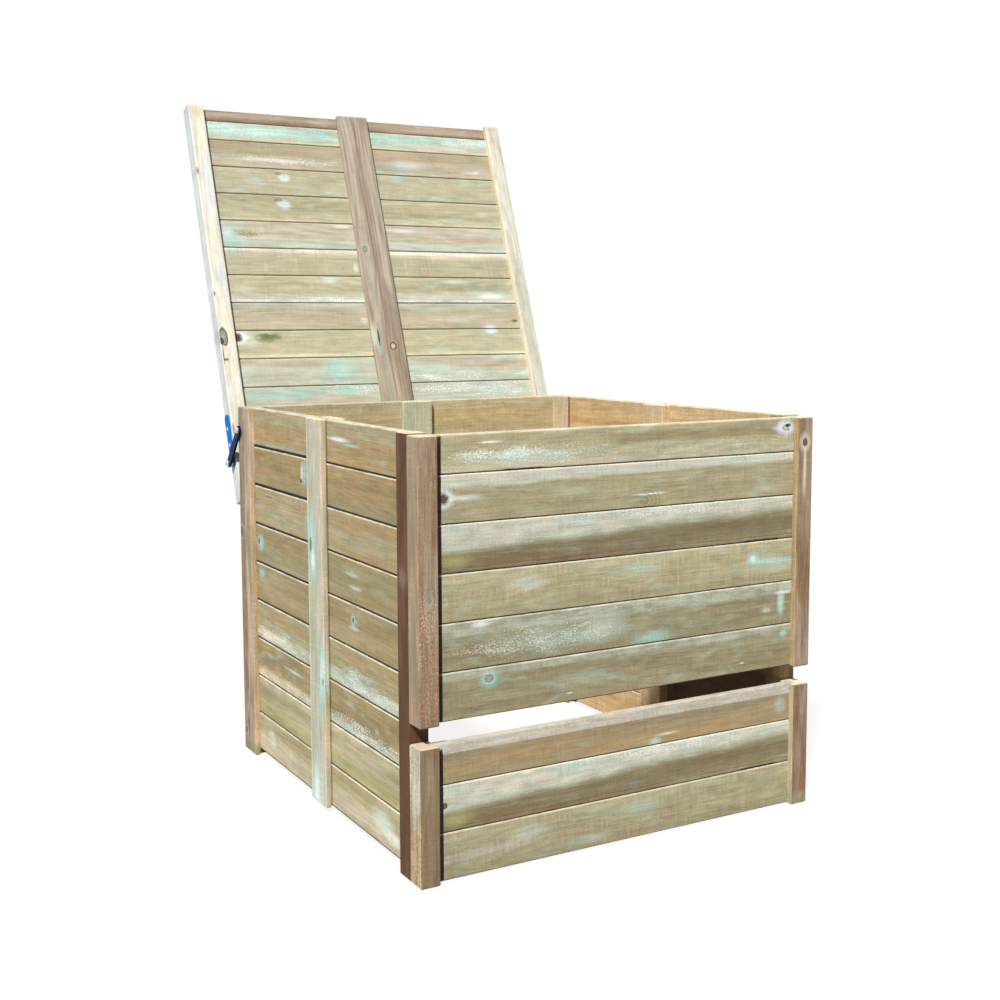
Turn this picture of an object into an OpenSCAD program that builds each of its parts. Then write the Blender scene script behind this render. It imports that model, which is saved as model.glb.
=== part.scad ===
// Wooden composter: four board panels between grooved posts, a lift-off front hatch
// and a lid that swings over the back on two link arms.
// The box stands on z = 0. In the modules below x runs from the left side, y from the
// front face and z from the ground; the last section moves the whole to its origin.

/* [Box] */
// Outside width of the box
box_w = 894; // [700:1:1200]
// Outside depth of the box, from the front battens to the rear battens
box_d = 930; // [700:1:1200]
// Rows of boards in the side and rear panels
side_rows = 9; // [6:1:12]
// Gap between the lowest side board and the ground
foot_gap = 14; // [6:1:30]
// How much lower the front panel ends than the sides
front_drop = 3; // [0:1:20]

/* [Boards] */
// Height that one wall board covers
board_cover = 88; // [76:1:110]
// Thickness of every board
board_t = 19; // [17:0.5:22]
// Open joint between the faces of two boards
board_joint = 1.2; // [0.6:0.1:2]
// Chamfer along the long edges of a board
board_chamfer = 2; // [1:0.5:3]
// Thickness of a tongue
tongue_t = 6; // [4:0.5:7]
// Length of a tongue
tongue_l = 7; // [5:0.5:9]
// Free space past the end of a tongue
tongue_end_clear = 1; // [0.5:0.1:2]
// Side clearance of a tongue, and of a board in the groove of a post
groove_clear = 0.3; // [0.2:0.1:0.5]

/* [Posts and battens] */
// Thickness of the post stock, across a panel
post_a = 40; // [34:1:50]
// Depth of the front posts and battens
post_b = 43; // [40:1:50]
// Depth of the rear posts and battens
rear_b = 36; // [34:1:45]
// Thickness of the rear panel's battens, across that panel
rear_a = 60; // [40:1:80]
// How far the boards lie behind the outer faces of the posts
recess = 13; // [10:0.5:15]
// Depth of the grooves that hold the board ends
groove_depth = 12; // [8:0.5:13]
// Free space past a board end in its groove
board_end_clear = 0.5; // [0.3:0.1:2]
// Radius of the eased long edges of posts and battens
post_ease = 3; // [1:0.5:4]
// Chamfer round the ends of posts and battens
post_end_chamfer = 3; // [1:0.5:5]
// Width of the middle battens of the walls
middle_w = 78; // [50:1:110]
// Thickness of the middle battens inside the side panels
inner_middle_t = 24; // [15:1:32]
// Thickness of the middle batten inside the rear panel
rear_middle_t = 14; // [10:1:24]
// How far that batten stands to the left of the rear panel's middle
rear_middle_left = 7; // [0:1:40]
// Gap between the middle battens and the ground
middle_foot = 10; // [5:1:30]

/* [Hatch] */
// Full boards in the hatch, below its narrower top board
hatch_full_rows = 2; // [1:1:3]
// Height of the hatch's narrower top board
hatch_top_board = 76; // [50:1:88]
// Gap between the hatch's lowest board and the ground
hatch_foot = 2; // [1:1:20]
// Height and depth of the long bevel on the hatch's top board
hatch_bevel_h = 20; // [5:1:30]
hatch_bevel_d = 6; // [2:0.5:7]
// Open gap between the hatch and the panel above it
hatch_gap = 36; // [28:1:60]
// How far the boards of the front panel end above its battens
front_lip = 3; // [1:1:15]
// Running gap between the hatch and the side posts
hatch_clear = 0.4; // [0.3:0.1:1]

/* [Lid] */
// How far the closed lid reaches past the front
lid_overhang = 77; // [20:1:150]
// How far the lid's sides lie inside those of the box
lid_inset = 6; // [4:1:20]
// Height that one lid board covers
lid_cover = 72; // [60:1:100]
// Width of the plain strip at the lid's front edge
lid_strip = 31; // [20:1:50]
// Width of the ripped board beside that strip
lid_ripped = 50; // [35:1:72]
// How far the side battens run past the lid's front edge
lid_batten_over = 8; // [0:1:20]
// Width of the lid's middle batten
lid_middle_w = 86; // [50:1:120]
// How far the middle batten runs past the lid's front edge
lid_middle_over = 4; // [0:1:15]
// Radius of the rounded front ends of the side battens
lid_end_r = 11; // [4:1:18]
// Lean of the open lid, from upright, in degrees
lid_lean = 20; // [10:0.5:25]
// How far the open lid's lower end hangs below the top of the box
lid_drop = 220; // [180:1:260]
// Gap left between the lid and the box, open and closed
lid_clear = 0.5; // [0.3:0.1:1]

/* [Link arms] */
// Distance from the lid's rear end to its pivot bolts
lid_pivot_in = 97; // [85:1:115]
// Distance from the rear face of the box to the post bolts
post_pivot_in = 18; // [14:1:22]
// Thickness of a link arm
link_t = 5; // [3:0.5:8]
// Radius of a link arm's round ends
link_r = 10; // [8:0.5:13]
// Thickness of the plates on the lid
hinge_plate_t = 4; // [2:0.5:4]
// Height of the collars that keep the arms off the posts
collar_h = 2; // [1:0.5:5]
// Running gap beside a link arm
link_gap = 0.4; // [0.3:0.1:0.8]
// Radius of a pivot bolt
bolt_r = 4; // [3:0.5:5]
// Running clearance of a link arm on its bolts
bolt_clear = 0.05; // [0.02:0.01:0.09]
// Radius and height of a bolt's head
bolt_head_r = 8; // [6:0.5:9]
bolt_head_h = 5; // [3:0.5:7]
// Length of a bolt in the wood
bolt_in = 24; // [18:1:26]
// Radius of the wide and of the narrow end of a lid plate
plate_wide_r = 13; // [11:0.5:16]
plate_narrow_r = 9.5; // [8:0.5:11]
// Distance between the centres of those ends
plate_l = 104; // [80:1:140]
// Radius of the plates' screws
plate_screw_r = 2.4; // [1.5:0.1:3]

/* [Hangers] */
// Heights of the hangers of the front panel
front_hanger_z = [372, 726];
// Heights of the hangers of the rear panel
rear_hanger_z = [170, 560];
// Height of the hatch's hangers
hatch_hanger_z = 160; // [100:1:200]
// Distance from a batten's outer face to the hangers
hanger_x = 17; // [14:1:19]
// Width, height and thickness of a hanger plate
hanger_w = 15; // [13:1:18]
hanger_h = 48; // [44:1:60]
hanger_t = 2; // [1.5:0.5:3]
// How far a hung panel is lifted to free it
hanger_lift = 22; // [16:1:24]
// Radius of a hanger screw's shank and of its head
hanger_screw_r = 2.2; // [1.8:0.1:3]
hanger_head_r = 4.2; // [3.6:0.1:5]
// Height of that head, and length of the screw in the post
hanger_head_h = 3; // [2:0.5:4]
hanger_screw_in = 18; // [12:1:20]
// Clearance round a hanger screw
hanger_clear = 0.4; // [0.3:0.1:0.8]

/* [Hidden] */
$fn = 48;
eps = 1;
ease_steps = 3;

// Heights
side_h = foot_gap + side_rows * board_cover;
front_h = side_h - front_drop;
hatch_h = hatch_foot + hatch_full_rows * board_cover + hatch_top_board;
front_z = hatch_h + hatch_gap;
front_board_z = front_z + front_lip;
least_ripped = 28;
front_full_rows = floor((front_h - front_board_z - least_ripped) / board_cover);
front_top_board = front_h - front_board_z - front_full_rows * board_cover;
front_rows = front_full_rows + 1;
hatch_rows = hatch_full_rows + 1;
hatch_b = post_b - hatch_clear;

// Plan of the panels
board_in = groove_depth - board_end_clear;
wide_board_x = post_a - board_in;
wide_board_l = box_w - 2 * wide_board_x;
rear_board_x = rear_a - board_in;
rear_board_l = box_w - 2 * rear_board_x;
side_board_y = 2 * post_b - board_in;
side_board_l = box_d - 2 * rear_b + board_in - side_board_y;
side_middle_y = (2 * post_b + box_d - 2 * rear_b) / 2;
inner_face = recess + board_t;

// Lid
lid_l = box_d + lid_overhang;
lid_w = box_w - 2 * lid_inset;
lid_board_l = lid_w - 2 * wide_board_x;
lid_board_top = lid_l - lid_strip - lid_ripped;
lid_full_rows = floor((lid_board_top - least_ripped) / lid_cover);
lid_tail = lid_board_top - lid_full_rows * lid_cover;
lid_rows = lid_full_rows + 2;
lid_y = box_d + lid_clear;
lid_z = side_h - lid_drop;

// Pivots, in the plane of a side: the post bolt is as far from the lid's bolt with the
// lid open as with the lid shut
pivot_w = post_b / 2;
lid_pivot_open = [lid_y + lid_pivot_in * sin(lid_lean) + pivot_w * cos(lid_lean),
                  lid_z + lid_pivot_in * cos(lid_lean) - pivot_w * sin(lid_lean)];
lid_pivot_shut = [box_d - lid_pivot_in, side_h + lid_clear + pivot_w];
pivot_mid = (lid_pivot_open + lid_pivot_shut) / 2;
pivot_way = lid_pivot_shut - lid_pivot_open;
post_pivot_y = box_d - post_pivot_in;
post_pivot_z = pivot_mid[1] - (post_pivot_y - pivot_mid[0]) * pivot_way[0] / pivot_way[1];
link_l = norm([post_pivot_y, post_pivot_z] - lid_pivot_open);
link_open = atan2(lid_pivot_open[1] - post_pivot_z, lid_pivot_open[0] - post_pivot_y);
link_x = collar_h + link_gap;
head_x = link_x + link_t + link_gap;
plate_screw_at = [0.42, 0.8];

// Place of the whole: centred on its box at rest, standing on the ground
rear_reach = lid_y + lid_end_r + (lid_l + lid_batten_over - lid_end_r) * sin(lid_lean)
           + (post_b - lid_end_r) * cos(lid_lean);
place = [-box_w / 2, -rear_reach / 2, 0];

function numbered(name, count) = [for (k = [1:count]) str(name, k)];

// Colours, as the weathered and treated timber shows them
board_tone = [0.70, 0.66, 0.48];
lid_tone = [0.76, 0.70, 0.52];
post_tone = [0.56, 0.42, 0.32];
batten_tone = [0.66, 0.56, 0.42];
pale_tone = [0.93, 0.87, 0.76];
strip_tone = [0.60, 0.46, 0.33];
blue_tone = [0.05, 0.45, 0.85];
navy_tone = [0.03, 0.10, 0.28];
zinc_tone = [0.78, 0.79, 0.80];

// Swaps x and y, so that a front panel's piece becomes a left panel's
module swapped() { mirror([1, -1, 0]) children(); }
module to_right() { translate([box_w, 0, 0]) mirror([1, 0, 0]) children(); }
module to_rear() { translate([0, box_d, 0]) mirror([0, 1, 0]) children(); }
module both_sides() { children(); to_right() children(); }
module placed() { translate(place) children(); }
// Carries the lid from upright, with its lower front left corner at the origin, to its open pose
module opened() { translate([lid_inset, lid_y, lid_z]) rotate([-lid_lean, 0, 0]) children(); }

// Rectangle with eased corners
function eased(a, b, r) = [
    for (c = [[a - r, b - r, 0], [r, b - r, 90], [r, r, 180], [a - r, r, 270]])
        for (k = [0:ease_steps])
            [c[0] + r * cos(c[2] + 90 * k / ease_steps), c[1] + r * sin(c[2] + 90 * k / ease_steps)]];

// Rectangle with cut corners
function chamfered(a, b, c) = [[c, 0], [a - c, 0], [a, c], [a, b - c], [a - c, b], [c, b], [0, b - c], [0, c]];

// Upright bar with eased edges and chamfered ends
module bar(a, b, l) {
    intersection() {
        linear_extrude(l) polygon(eased(a, b, post_ease));
        rotate([90, 0, 0]) translate([0, 0, -b - eps]) linear_extrude(b + 2 * eps)
            polygon(chamfered(a, l, post_end_chamfer));
        rotate([90, 0, 90]) translate([0, 0, -eps]) linear_extrude(a + 2 * eps)
            polygon(chamfered(b, l, post_end_chamfer));
    }
}

// Bar with a groove down its +x face for the ends of the boards
module grooved_bar(a, b, l) {
    difference() {
        bar(a, b, l);
        translate([a - groove_depth, recess - groove_clear, -eps])
            cube([groove_depth + eps, board_t + 2 * groove_clear, l + 2 * eps]);
    }
}

// Section of a board: x is its thickness from the outer face, y its height
function board_section(h, tongue, groove, bevel) =
    let (lo = groove ? board_joint / 2 : 0,
         hi = tongue ? h - board_joint / 2 : h,
         t0 = (board_t - tongue_t) / 2,
         t1 = (board_t + tongue_t) / 2,
         g0 = t0 - groove_clear,
         g1 = t1 + groove_clear,
         deep = lo + tongue_l - board_joint + tongue_end_clear,
         c = board_chamfer)
    concat([[c, lo]],
           groove ? [[g0, lo], [g0, deep], [g1, deep], [g1, lo]] : [],
           [[board_t - c, lo], [board_t, lo + c], [board_t, hi - c], [board_t - c, hi]],
           tongue ? [[t1, hi], [t1, hi + tongue_l - 1], [t1 - 1, hi + tongue_l],
                     [t0 + 1, hi + tongue_l], [t0, hi + tongue_l - 1], [t0, hi]] : [],
           [[bevel[1], hi], [0, hi - bevel[0]], [0, lo + c]]);

// Board lying along x, its outer face at y = 0 and its lower joint at z = 0
module board(l, h, tongue = true, groove = true, bevel = [board_chamfer, board_chamfer]) {
    rotate([90, 0, 90]) linear_extrude(l) polygon(board_section(h, tongue, groove, bevel));
}

// One row of a wall panel that is as high as the sides
module wall_row(k, l) {
    translate([0, recess, foot_gap + (k - 1) * board_cover])
        board(l, board_cover, tongue = k < side_rows, groove = k > 1);
}

// Hidden hangers: a keyhole plate let into the back of a batten of depth b
module hanger_pocket(b) {
    head_room = hanger_head_r + hanger_clear;
    deep = hanger_t + hanger_head_h + 3 * hanger_clear;
    translate([hanger_x - hanger_w / 2 - hanger_clear / 4, b - hanger_t, -hanger_h + 2 * head_room])
        cube([hanger_w + hanger_clear / 2, hanger_t + eps, hanger_h + hanger_clear / 2]);
    translate([hanger_x - head_room, b - deep, -hanger_lift - head_room])
        cube([2 * head_room, deep + eps, hanger_lift + 2 * head_room]);
}

module hanger_plate(b) {
    head_room = hanger_head_r + hanger_clear;
    difference() {
        translate([hanger_x - hanger_w / 2, b - hanger_t, -hanger_h + 2 * head_room])
            cube([hanger_w, hanger_t, hanger_h]);
        translate([hanger_x, b + eps, 0]) rotate([90, 0, 0]) {
            cylinder(r = hanger_screw_r + hanger_clear, h = hanger_t + 2 * eps);
            translate([-hanger_screw_r - hanger_clear, -hanger_lift, 0])
                cube([2 * (hanger_screw_r + hanger_clear), hanger_lift, hanger_t + 2 * eps]);
            translate([0, -hanger_lift, 0]) cylinder(r = head_room, h = hanger_t + 2 * eps);
        }
    }
}

// Its screw, with the head inside the batten and the shank in the post behind
module hanger_screw(b) {
    translate([hanger_x, b + hanger_screw_in, 0]) rotate([90, 0, 0]) {
        cylinder(r = hanger_screw_r, h = hanger_screw_in + hanger_t + hanger_clear + eps / 2);
        translate([0, 0, hanger_screw_in + hanger_t + hanger_clear])
            cylinder(r1 = hanger_head_r, r2 = hanger_head_r - 1, h = hanger_head_h);
    }
}

module hanger_screw_hole(b) {
    translate([hanger_x, b + hanger_screw_in + hanger_clear, 0]) rotate([90, 0, 0])
        cylinder(r = hanger_screw_r + bolt_clear, h = hanger_screw_in + hanger_clear + eps);
}

// Side panels, drawn for the left
module side_front_post() {
    color(post_tone) difference() {
        translate([0, post_b, 0]) swapped() grooved_bar(post_b, post_a, side_h);
        for (z = concat(front_hanger_z, [hatch_hanger_z])) translate([0, 0, z]) hanger_screw_hole(post_b);
    }
}

module side_rear_post() {
    color(batten_tone) difference() {
        translate([0, box_d - rear_b, 0]) mirror([0, 1, 0]) swapped() grooved_bar(rear_b, post_a, side_h);
        to_rear() for (z = rear_hanger_z) translate([0, 0, z]) hanger_screw_hole(rear_b);
    }
}

module side_middle_batten() {
    color(batten_tone) translate([0, side_middle_y - middle_w / 2, middle_foot])
        swapped() bar(middle_w, recess, side_h - middle_foot);
}

module side_board(k) {
    color(board_tone) swapped() translate([side_board_y, 0, 0]) wall_row(k, side_board_l);
}

// Battens inside the box, across the middle of the side and rear panels
module inner_middle_battens() {
    color(batten_tone) {
        both_sides() swapped() translate([side_middle_y - middle_w / 2, inner_face, middle_foot])
            bar(middle_w, inner_middle_t, side_h - middle_foot);
        to_rear() translate([(box_w - middle_w) / 2 - rear_middle_left, inner_face, middle_foot])
            bar(middle_w, rear_middle_t, side_h - middle_foot);
    }
}

// Rear panel
module rear_batten() {
    color(post_tone) difference() {
        to_rear() grooved_bar(rear_a, rear_b, side_h);
        to_rear() for (z = rear_hanger_z) translate([0, 0, z]) hanger_pocket(rear_b);
        translate([0, post_pivot_y, post_pivot_z]) bolt_hole();
    }
}

module rear_boards() {
    color(board_tone) to_rear() for (k = [1:side_rows]) translate([rear_board_x, 0, 0]) wall_row(k, rear_board_l);
}

// Front panel above the hatch
module front_batten() {
    color(post_tone) difference() {
        translate([0, 0, front_z]) grooved_bar(post_a, post_b, front_h - front_z);
        for (z = front_hanger_z) translate([0, 0, z]) hanger_pocket(post_b);
    }
}

module front_board(k) {
    color(board_tone) translate([wide_board_x, recess, front_board_z + (k - 1) * board_cover])
        board(wide_board_l, k < front_rows ? board_cover : front_top_board,
              tongue = k < front_rows, groove = k > 1);
}

// Hatch
module hatch_batten() {
    color(post_tone) difference() {
        grooved_bar(post_a, hatch_b, hatch_h);
        translate([0, 0, hatch_hanger_z]) hanger_pocket(hatch_b);
    }
}

module hatch_board(k) {
    top = k == hatch_rows;
    color(board_tone) translate([wide_board_x, recess, hatch_foot + (k - 1) * board_cover])
        board(wide_board_l, top ? hatch_top_board : board_cover, tongue = !top, groove = k > 1,
              bevel = top ? [hatch_bevel_h, hatch_bevel_d] : [board_chamfer, board_chamfer]);
}

// Lid, drawn upright with its rear end down and its underside to the front
module lid_batten() {
    l = lid_l + lid_batten_over;
    color(pale_tone) opened() difference() {
        intersection() {
            grooved_bar(post_a, post_b, l);
            rotate([90, 0, 90]) translate([0, 0, -eps]) linear_extrude(post_a + 2 * eps) union() {
                square([post_b, l - lid_end_r]);
                translate([lid_end_r, 0]) square([post_b - 2 * lid_end_r, l]);
                for (y = [lid_end_r, post_b - lid_end_r]) translate([y, l - lid_end_r]) circle(r = lid_end_r);
            }
        }
        translate([0, pivot_w, lid_pivot_in]) {
            bolt_hole();
            for (s = plate_screw_at) translate([0, 0, s * plate_l]) plate_screw_hole();
        }
    }
}

module lid_middle_batten() {
    color(batten_tone) opened() translate([(lid_w - lid_middle_w) / 2, 0, 0])
        bar(lid_middle_w, recess, lid_l + lid_middle_over);
}

// Lid boards, counted from the rear end; the first and the last are ripped to fit
module lid_board(k) {
    h = k == 1 ? lid_tail : k == lid_rows ? lid_ripped : lid_cover;
    z = k == 1 ? 0 : lid_tail + (k - 2) * lid_cover;
    color(lid_tone) opened() translate([wide_board_x, recess, z])
        board(lid_board_l, h, tongue = k < lid_rows, groove = k > 1);
}

module lid_front_strip() {
    color(strip_tone) opened() translate([wide_board_x, recess, lid_l - lid_strip])
        board(lid_board_l, lid_strip, tongue = false, groove = false);
}

// Link arms and their bolts, drawn for the left side, outwards from x = 0
module bolt_hole() {
    rotate([0, 90, 0]) translate([0, 0, -eps]) cylinder(r = bolt_r + bolt_clear / 2, h = bolt_in + 2 * eps);
}

// Bolt with its head off the wood by out, and a collar that reaches from one distance to another
module pivot_bolt(out, collar_from, collar_to) {
    rotate([0, 90, 0]) {
        translate([0, 0, -out - eps]) cylinder(r = bolt_r, h = out + eps + bolt_in);
        translate([0, 0, -out - bolt_head_h]) cylinder(r1 = bolt_head_r - 2, r2 = bolt_head_r, h = bolt_head_h / 2);
        translate([0, 0, -out - bolt_head_h / 2]) cylinder(r = bolt_head_r, h = bolt_head_h / 2);
        translate([0, 0, -collar_to]) cylinder(r = bolt_head_r, h = collar_to - collar_from);
    }
}

module link_arm() {
    translate([-link_x - link_t, post_pivot_y, post_pivot_z]) rotate([link_open, 0, 0]) rotate([90, 0, 90])
        difference() {
            union() {
                translate([0, -link_r, 0]) cube([link_l, 2 * link_r, link_t]);
                for (s = [0, link_l]) translate([s, 0, 0]) cylinder(r = link_r, h = link_t);
            }
            for (s = [0, link_l]) translate([s, 0, -eps])
                cylinder(r = bolt_r + bolt_clear, h = link_t + 2 * eps);
        }
}

// Outline with two round ends of different radii, joined by their common tangents
function tapered(r0, r1, l) =
    let (a = asin((r1 - r0) / l), n = 12)
    concat([for (k = [0:n]) let (t = 180 + a + k * (180 - 2 * a) / n) r0 * [cos(t), sin(t)]],
           [for (k = [0:n]) let (t = -a + k * (180 + 2 * a) / n) [0, l] + r1 * [cos(t), sin(t)]]);

module lid_hinge_plate() {
    opened() translate([-hinge_plate_t, pivot_w, lid_pivot_in]) difference() {
        rotate([90, 0, 90]) linear_extrude(hinge_plate_t) polygon(tapered(plate_narrow_r, plate_wide_r, plate_l));
        rotate([0, 90, 0]) translate([0, 0, -eps])
            cylinder(r = bolt_r + bolt_clear / 2, h = hinge_plate_t + 2 * eps);
        for (s = plate_screw_at) translate([-eps, 0, s * plate_l]) plate_screw_hole();
    }
}

module plate_screw_hole() {
    rotate([0, 90, 0]) translate([0, 0, -eps])
        cylinder(r = plate_screw_r + bolt_clear / 2, h = bolt_in / 2 + 3 * eps);
}

module plate_screw() {
    rotate([0, 90, 0]) {
        translate([0, 0, -hinge_plate_t - 2]) cylinder(r1 = plate_screw_r, r2 = 2 * plate_screw_r, h = 2);
        translate([0, 0, -hinge_plate_t - 1]) cylinder(r = plate_screw_r, h = hinge_plate_t + bolt_in / 2);
    }
}

placed() side_front_post();  // left_front_post
placed() side_rear_post();  // left_rear_post
placed() side_middle_batten();  // left_middle_batten
placed() to_right() side_front_post();  // right_front_post
placed() to_right() side_rear_post();  // right_rear_post
placed() to_right() side_middle_batten();  // right_middle_batten
placed() rear_batten();  // rear_left_batten
placed() to_right() rear_batten();  // rear_right_batten
placed() inner_middle_battens();
placed() front_batten();  // front_left_batten
placed() to_right() front_batten();  // front_right_batten
placed() hatch_batten();  // hatch_left_batten
placed() to_right() hatch_batten();  // hatch_right_batten
placed() lid_batten();  // lid_left_batten
placed() to_right() lid_batten();  // lid_right_batten
placed() lid_middle_batten();
placed() lid_front_strip();
placed() to_right() for (k = [1:side_rows]) side_board(k);  // right_boards
placed() rear_boards();
for (k = [1:side_rows]) placed() side_board(k);
for (k = [1:front_rows]) placed() front_board(k);
for (k = [1:hatch_rows]) placed() hatch_board(k);
for (k = [1:lid_rows]) placed() lid_board(k);
placed() color(navy_tone) both_sides() link_arm();  // link_arms
placed() color(blue_tone) both_sides() lid_hinge_plate();  // lid_hinge_plates
placed() color(zinc_tone) both_sides()  // hinge_plate_screws
    opened() for (s = plate_screw_at) translate([0, pivot_w, lid_pivot_in + s * plate_l]) plate_screw();
placed() color(zinc_tone) both_sides()  // post_pivot_bolts
    translate([0, post_pivot_y, post_pivot_z]) pivot_bolt(head_x, 0, collar_h);
placed() color(zinc_tone) both_sides()  // lid_pivot_bolts
    opened() translate([0, pivot_w, lid_pivot_in])
        pivot_bolt(head_x + lid_inset, hinge_plate_t, lid_inset + collar_h);
placed() color(zinc_tone) both_sides() {  // hanger_screws
    for (z = concat(front_hanger_z, [hatch_hanger_z])) translate([0, 0, z]) hanger_screw(post_b);
    to_rear() for (z = rear_hanger_z) translate([0, 0, z]) hanger_screw(rear_b);
}
placed() color(zinc_tone) both_sides() {  // panel_hanger_plates
    for (z = front_hanger_z) translate([0, 0, z]) hanger_plate(post_b);
    to_rear() for (z = rear_hanger_z) translate([0, 0, z]) hanger_plate(rear_b);
}
placed() color(zinc_tone) both_sides()  // hatch_hanger_plates
    translate([0, 0, hatch_hanger_z]) hanger_plate(hatch_b);
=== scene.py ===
import math

import bpy
from mathutils import Matrix, Vector

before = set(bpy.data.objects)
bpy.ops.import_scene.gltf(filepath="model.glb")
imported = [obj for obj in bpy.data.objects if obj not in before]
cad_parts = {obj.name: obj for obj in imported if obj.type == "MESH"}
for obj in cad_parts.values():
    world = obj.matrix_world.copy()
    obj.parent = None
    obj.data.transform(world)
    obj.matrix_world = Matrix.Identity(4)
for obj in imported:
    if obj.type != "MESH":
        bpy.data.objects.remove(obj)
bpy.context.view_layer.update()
print("frame loaded:", len(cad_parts), "nodes")

# Where the box stands in the frame, in metres: its left face and its front face.
boxLeft, boxFront = -0.447, -0.65748
lidLean = math.radians(20)
millimetre = 0.001

# Colours by name, as they show on a screen from 0 to 255. Every board that uses one follows a change here.
palette = {
    "olive": (158, 152, 120), "khaki": (134, 122, 92), "oliveDeep": (104, 88, 60), "tan": (172, 164, 130),
    "sand": (200, 192, 160), "camel": (180, 154, 114), "bark": (160, 144, 102), "innerTan": (208, 188, 144),
    "innerOrange": (228, 186, 134), "postDark": (102, 74, 44), "joint": (96, 78, 52), "black": (16, 11, 7),
    "mintTan": (190, 198, 168), "innerPink": (222, 192, 154), "mossDark": (88, 104, 56),
    "sawnPink": (226, 208, 182), "ice": (222, 232, 236), "ochre": (196, 158, 110), "brown": (138, 110, 84),
    "rust": (120, 84, 64), "umber": (66, 46, 32), "pink": (182, 162, 140), "blush": (206, 194, 176),
    "cream": (230, 220, 186), "ivory": (236, 232, 214), "white": (240, 244, 240), "mint": (184, 202, 184),
    "frost": (204, 216, 200), "aqua": (170, 220, 216), "moss": (112, 126, 70), "lichen": (178, 174, 118),
    "sage": (172, 180, 160), "sagePale": (192, 194, 172), "drab": (152, 136, 116),
    "lavender": (196, 194, 186), "straw": (188, 184, 156), "hay": (176, 172, 140), "chalk": (200, 200, 180),
    # dirtAndShade darkens joints with dirt and painted shade, and is painted shade in the corners beside
    # battens
    "rose": (196, 182, 158), "dew": (190, 206, 190), "lidBatten": (232, 228, 214), "dirtAndShade": (38, 28, 18),
    "knot": (80, 54, 42), "blue": (0, 112, 188), "navy": (4, 28, 72), "steel": (196, 200, 204),
}


def linear(value):
    value /= 255
    return value / 12.92 if value <= 0.04045 else ((value + 0.055) / 1.055) ** 2.4


def colour(name):
    return tuple(linear(c) for c in palette[name]) + (1.0,)


class Wire:
    # One output of a shader node. Sums on wires add Math nodes.

    def __init__(self, tree, socket):
        self.tree, self.socket = tree, socket

    def node(self, kind, settings, sockets, out=0):
        made = self.tree.nodes.new(kind)
        for name, value in settings.items():
            setattr(made, name, value)
        for name, value in sockets.items():
            if isinstance(value, Wire):
                self.tree.links.new(value.socket, made.inputs[name])
            else:
                made.inputs[name].default_value = value
        return Wire(self.tree, made.outputs[out])

    def sums(self, operation, *others):
        return self.node("ShaderNodeMath", {"operation": operation}, dict(enumerate(others)))

    def __add__(self, other):
        return self.sums("ADD", self, other)

    __radd__ = __add__

    def __sub__(self, other):
        return self.sums("SUBTRACT", self, other)

    def __rsub__(self, other):
        return self.sums("SUBTRACT", other, self)

    def __mul__(self, other):
        return self.sums("MULTIPLY", self, other)

    __rmul__ = __mul__

    def size(self):
        return self.sums("ABSOLUTE", self)

    def root(self):
        return self.sums("SQRT", self)

    def whole(self):
        return self.sums("FLOOR", self)

    def wave(self):
        return self.sums("SINE", self)

    # a noise from 0 to 1 as a swing round 0
    def swing(self, amount):
        return (self - 0.5) * amount

    # 0 before start, 1 after end, smooth between; start may be the larger
    def ease(self, start, end):
        return self.node("ShaderNodeMapRange", {"interpolation_type": "SMOOTHSTEP"},
                         {"Value": self, "From Min": start, "From Max": end})

    def onset(self, name):
        return self.ease(*onsets[name])

    # a soft band from low to high
    def band(self, low, high, soft):
        return self.ease(low - soft, low + soft) * self.ease(high + soft, high - soft)

    def along(self, direction):
        return self.node("ShaderNodeVectorMath", {"operation": "DOT_PRODUCT"}, {0: self, 1: direction}, 1)

    def shift(self, offset):
        return self.node("ShaderNodeVectorMath", {"operation": "ADD"}, {0: self, 1: offset})

    def blend(self, mask, under, over, **settings):
        settings = dict({"data_type": "RGBA"}, **settings)
        return self.node("ShaderNodeMix", settings, {0: mask, 6: under, 7: over}, out=2)

    # paints a named colour, or a wire with a colour, over this one
    def paint(self, mask, other):
        return self.blend(mask, self, other if isinstance(other, Wire) else colour(other))

    def grey(self):
        return self.node("ShaderNodeCombineColor", {}, {0: self, 1: self, 2: self})

    # lightens above 1 and darkens below 1
    def shade(self, amount):
        return self.blend(1.0, self, amount.grey(), blend_type="MULTIPLY")


# Clears the nodes of a material or a world, and gives its tree and the socket that its surface goes to.
def freshTree(owner, outputKind):
    owner.use_nodes = True
    owner.node_tree.nodes.clear()
    return owner.node_tree, owner.node_tree.nodes.new(outputKind).inputs["Surface"]


def newMaterial(name):
    material = bpy.data.materials.new(name)
    tree, surface = freshTree(material, "ShaderNodeOutputMaterial")
    shader = tree.nodes.new("ShaderNodeBsdfPrincipled")
    tree.links.new(shader.outputs[0], surface)
    return material, shader, Wire(tree, tree.nodes.new("ShaderNodeTexCoord").outputs["Object"])


def connect(shader, socketName, wire):
    wire.tree.links.new(wire.socket, shader.inputs[socketName])


def dress(nodeName, material):
    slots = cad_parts[nodeName].material_slots
    if not slots:
        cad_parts[nodeName].data.materials.append(material)
    for slot in slots:
        slot.material = material


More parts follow.
